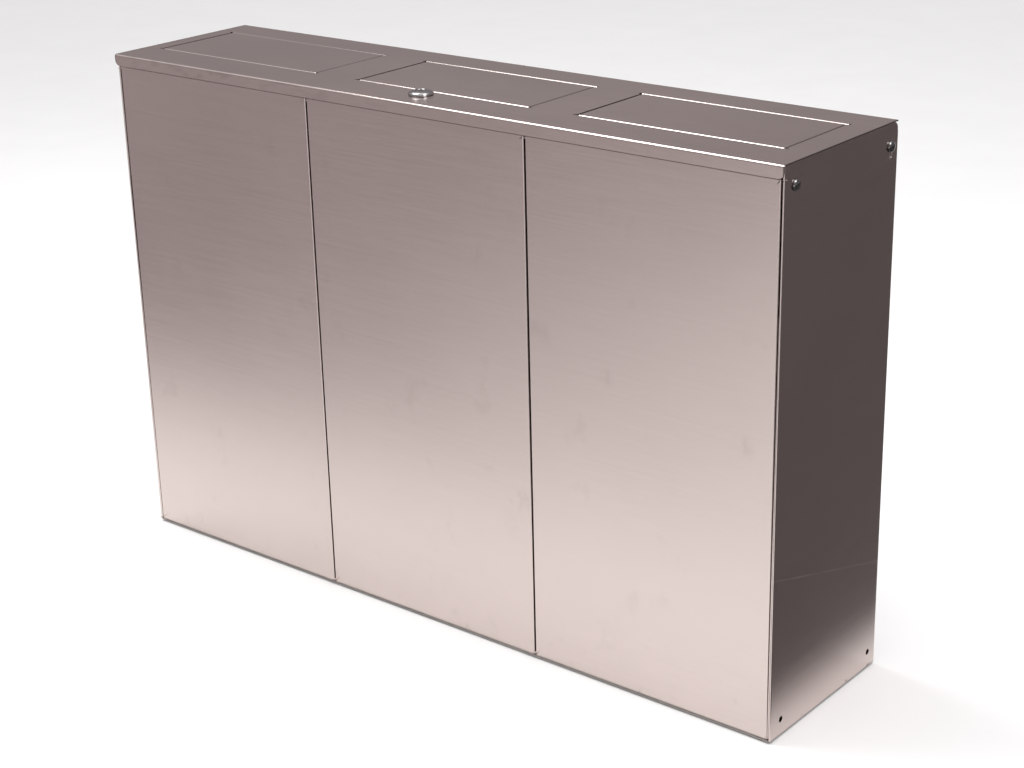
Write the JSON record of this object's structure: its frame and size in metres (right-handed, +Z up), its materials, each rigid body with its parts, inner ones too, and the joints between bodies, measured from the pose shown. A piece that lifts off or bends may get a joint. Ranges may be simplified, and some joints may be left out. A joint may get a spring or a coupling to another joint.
{
  "type": "recycling bin station",
  "caption": "Wide, shallow brushed stainless recycling cabinet with lockable hinged lid, push flaps over separate compartments, front doors and lift-out liners.",
  "frame": {"origin": "middle of the bounding box's footprint, on the floor under the foot pads", "axes": "+X along the width to the right as seen from the front, +Y towards the back, +Z up; the doors face -Y"},
  "size_m": [0.9074, 0.211, 0.5985],
  "materials": {
    "brushed_stainless": "fine horizontal brushing, satin, faint smears",
    "inner_stainless": "dull mill finish",
    "galvanised_steel": "spangled zinc coat, matt",
    "black_rubber": "matt",
    "bright_chrome": "polished chrome plate",
    "zinc_steel": "bright zinc plate",
    "spring_steel": "drawn wire, lightly oiled",
    "brown_plastic": "moulded, matt"
  },
  "bodies": {
    "cabinet": {"side_panel_left": "brushed_stainless", "side_panel_right": "brushed_stainless", "back_panel": "inner_stainless", "base_tray": "inner_stainless", "front_rail": "inner_stainless", "rear_rail": "inner_stainless", "divider_left": "inner_stainless", "divider_right": "inner_stainless", "liner_left": "galvanised_steel", "liner_middle": "galvanised_steel", "liner_right": "galvanised_steel", "foot_pad_front_left": "black_rubber", "foot_pad_front_right": "black_rubber", "foot_pad_rear_left": "black_rubber", "foot_pad_rear_right": "black_rubber", "side_bolt_front_left": "bright_chrome", "side_bolt_rear_left": "bright_chrome", "side_bolt_front_right": "bright_chrome", "side_bolt_rear_right": "bright_chrome", "magnetic_catch_left": "brown_plastic", "magnetic_catch_middle": "brown_plastic", "magnetic_catch_right": "brown_plastic", "hinge_leaf_cabinet": "zinc_steel", "hinge_pin": "zinc_steel"},
    "lid": {"lid": "brushed_stainless", "hinge_leaf_lid": "zinc_steel", "flap_rod_left": "zinc_steel", "flap_rod_middle": "zinc_steel", "flap_rod_right": "zinc_steel", "flap_bracket_left_1": "zinc_steel", "flap_bracket_left_2": "zinc_steel", "flap_bracket_middle_1": "zinc_steel", "flap_bracket_middle_2": "zinc_steel", "flap_bracket_right_1": "zinc_steel", "flap_bracket_right_2": "zinc_steel", "lock_bezel": "bright_chrome", "lock_nut": "zinc_steel"},
    "flap_left": {"flap_left": "brushed_stainless", "flap_spring_left": "spring_steel"},
    "flap_middle": {"flap_middle": "brushed_stainless", "flap_spring_middle": "spring_steel"},
    "flap_right": {"flap_right": "brushed_stainless", "flap_spring_right": "spring_steel"},
    "lock_cylinder": {"lock_plug": "bright_chrome", "lock_cam": "zinc_steel", "cam_screw": "zinc_steel"},
    "door_left": {"door_left": "brushed_stainless", "door_pin_left_top": "zinc_steel", "door_pin_left_bottom": "zinc_steel", "strike_plate_left": "zinc_steel"},
    "door_middle": {"door_middle": "brushed_stainless", "door_pin_middle_top": "zinc_steel", "door_pin_middle_bottom": "zinc_steel", "strike_plate_middle": "zinc_steel"},
    "door_right": {"door_right": "brushed_stainless", "door_pin_right_top": "zinc_steel", "door_pin_right_bottom": "zinc_steel", "strike_plate_right": "zinc_steel"}
  },
  "joints": [
    {"name": "lid_hinge", "type": "hinge", "parent": "cabinet", "child": "lid", "pos_m": [0, 0.101, 0.58995], "axis": [-1, 0, 0], "range_deg": [0, 95]},
    {"name": "flap_left_hinge", "type": "hinge", "parent": "lid", "child": "flap_left", "pos_m": [-0.304, 0.054, 0.586], "axis": [1, 0, 0], "range_deg": [0, 75], "stiffness_Nm_per_rad": 0.35, "springref_deg": -74.48},
    {"name": "flap_middle_hinge", "type": "hinge", "parent": "lid", "child": "flap_middle", "pos_m": [0.00105, 0.054, 0.586], "axis": [1, 0, 0], "range_deg": [0, 75], "stiffness_Nm_per_rad": 0.35, "springref_deg": -74.48},
    {"name": "flap_right_hinge", "type": "hinge", "parent": "lid", "child": "flap_right", "pos_m": [0.29895, 0.054, 0.586], "axis": [1, 0, 0], "range_deg": [0, 75], "stiffness_Nm_per_rad": 0.35, "springref_deg": -74.48},
    {"name": "lock_turn", "type": "hinge", "parent": "lid", "child": "lock_cylinder", "pos_m": [-0.0117, -0.0683, 0.594], "axis": [0, 0, -1], "range_deg": [0, 90]},
    {"name": "door_left_hinge", "type": "hinge", "parent": "cabinet", "child": "door_left", "pos_m": [-0.4316, -0.0955, 0.0044], "axis": [0, 0, -1], "range_deg": [0, 95]},
    {"name": "door_middle_hinge", "type": "hinge", "parent": "cabinet", "child": "door_middle", "pos_m": [-0.1315, -0.0955, 0.0044], "axis": [0, 0, -1], "range_deg": [0, 95]},
    {"name": "door_right_hinge", "type": "hinge", "parent": "cabinet", "child": "door_right", "pos_m": [0.4316, -0.0955, 0.0044], "axis": [0, 0, 1], "range_deg": [0, 95]}
  ]
}
